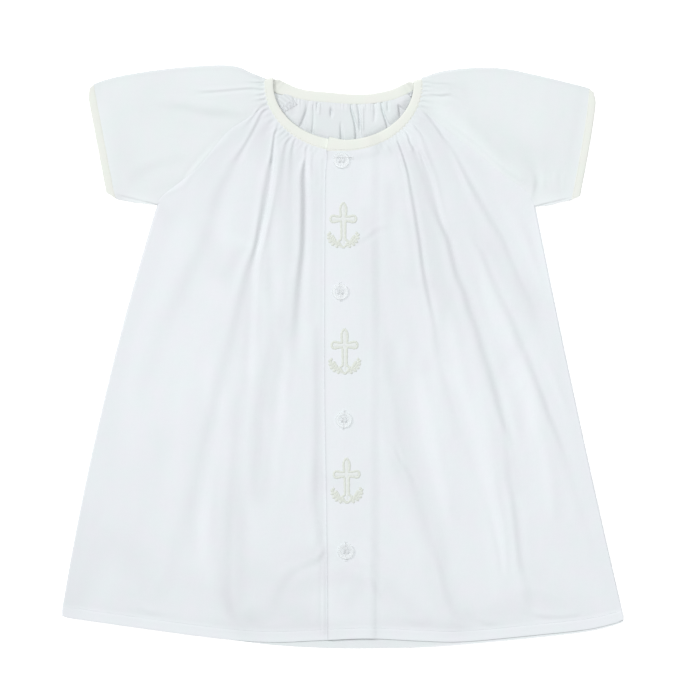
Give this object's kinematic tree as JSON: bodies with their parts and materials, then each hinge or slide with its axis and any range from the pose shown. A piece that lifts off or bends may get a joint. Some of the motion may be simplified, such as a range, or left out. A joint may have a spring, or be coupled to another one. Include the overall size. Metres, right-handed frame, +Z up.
{
  "type": "baby gown",
  "caption": "Short raglan-sleeved baby gown laid flat, with a gathered neck, a flared body and a buttoned, embroidered front.",
  "frame": {"origin": "on the surface it lies on, under the middle of its bounding box", "axes": "+Z up out of the front, +Y towards the neck, +X towards the wearer's left"},
  "size_m": [0.4326, 0.4476, 0.0073],
  "materials": {
    "cotton": "matte plain weave",
    "binding": "matte bias binding",
    "button": "pearly"
  },
  "bodies": {
    "root": {"back_panel": "cotton", "front_left_panel": "cotton", "front_right_panel": "cotton", "sleeve_left": "cotton", "sleeve_right": "cotton", "neck_binding": "binding", "cuff_binding_left": "binding", "cuff_binding_right": "binding", "button_1": "button", "button_2": "button", "button_3": "button", "button_4": "button"}
  },
  "joints": []
}
